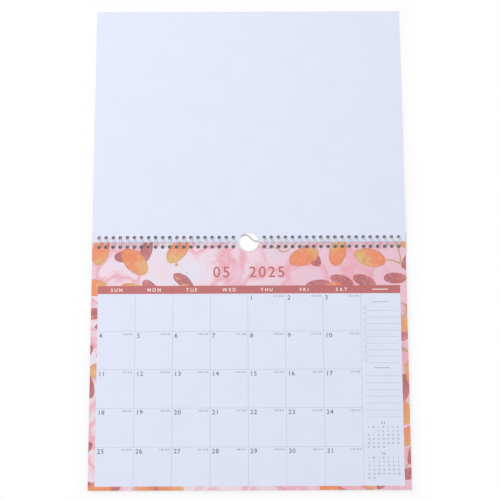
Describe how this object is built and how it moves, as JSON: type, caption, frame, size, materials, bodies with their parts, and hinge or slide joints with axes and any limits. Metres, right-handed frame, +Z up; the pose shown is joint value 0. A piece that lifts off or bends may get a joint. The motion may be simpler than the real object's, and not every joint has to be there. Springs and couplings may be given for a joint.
{
  "type": "wire-bound magnetic calendar",
  "caption": "Wire-bound monthly calendar lying open flat: leaves turning on twin-loop wire, thumb cut with swinging wire hanger, stiff back board with flexible magnet strips.",
  "frame": {"origin": "on the table under the middle of the binding", "axes": "+X along the binding to the right, +Y towards the turned leaves, +Z up from the table"},
  "size_m": [0.375, 0.5806, 0.0108],
  "materials": {
    "month_paper": "matte printed",
    "turned_paper": "matte",
    "cover_card": "satin printed",
    "board_card": "matte",
    "white_wire": "gloss",
    "hanger_steel": "drawn wire",
    "magnet_rubber": "matte"
  },
  "bodies": {
    "back": {"back_board": "board_card", "binding_wire_left": "white_wire", "binding_wire_right": "white_wire", "magnet_strip_upper": "magnet_rubber", "magnet_strip_lower": "magnet_rubber"},
    "front_cover": {"front_cover": "cover_card"},
    "turned_leaves": {"turned_leaves": "turned_paper"},
    "month_leaves": {"month_leaves": "month_paper"},
    "hanger": {"hanger": "hanger_steel"}
  },
  "joints": [
    {"name": "cover_turn", "type": "hinge", "parent": "back", "child": "front_cover", "pos_m": [0, 0, 0.0054], "axis": [1, 0, 0], "range_deg": [0, 180.9]},
    {"name": "turned_leaves_turn", "type": "hinge", "parent": "front_cover", "child": "turned_leaves", "pos_m": [0, 0, 0.0054], "axis": [1, 0, 0], "range_deg": [0, 180.9]},
    {"name": "month_leaves_turn", "type": "hinge", "parent": "back", "child": "month_leaves", "pos_m": [0, 0, 0.0054], "axis": [1, 0, 0], "range_deg": [-179, 0]},
    {"name": "hanger_swing", "type": "hinge", "parent": "back", "child": "hanger", "pos_m": [0, 0.00155, 0.002], "axis": [1, 0, 0], "range_deg": [-120, 15]}
  ]
}
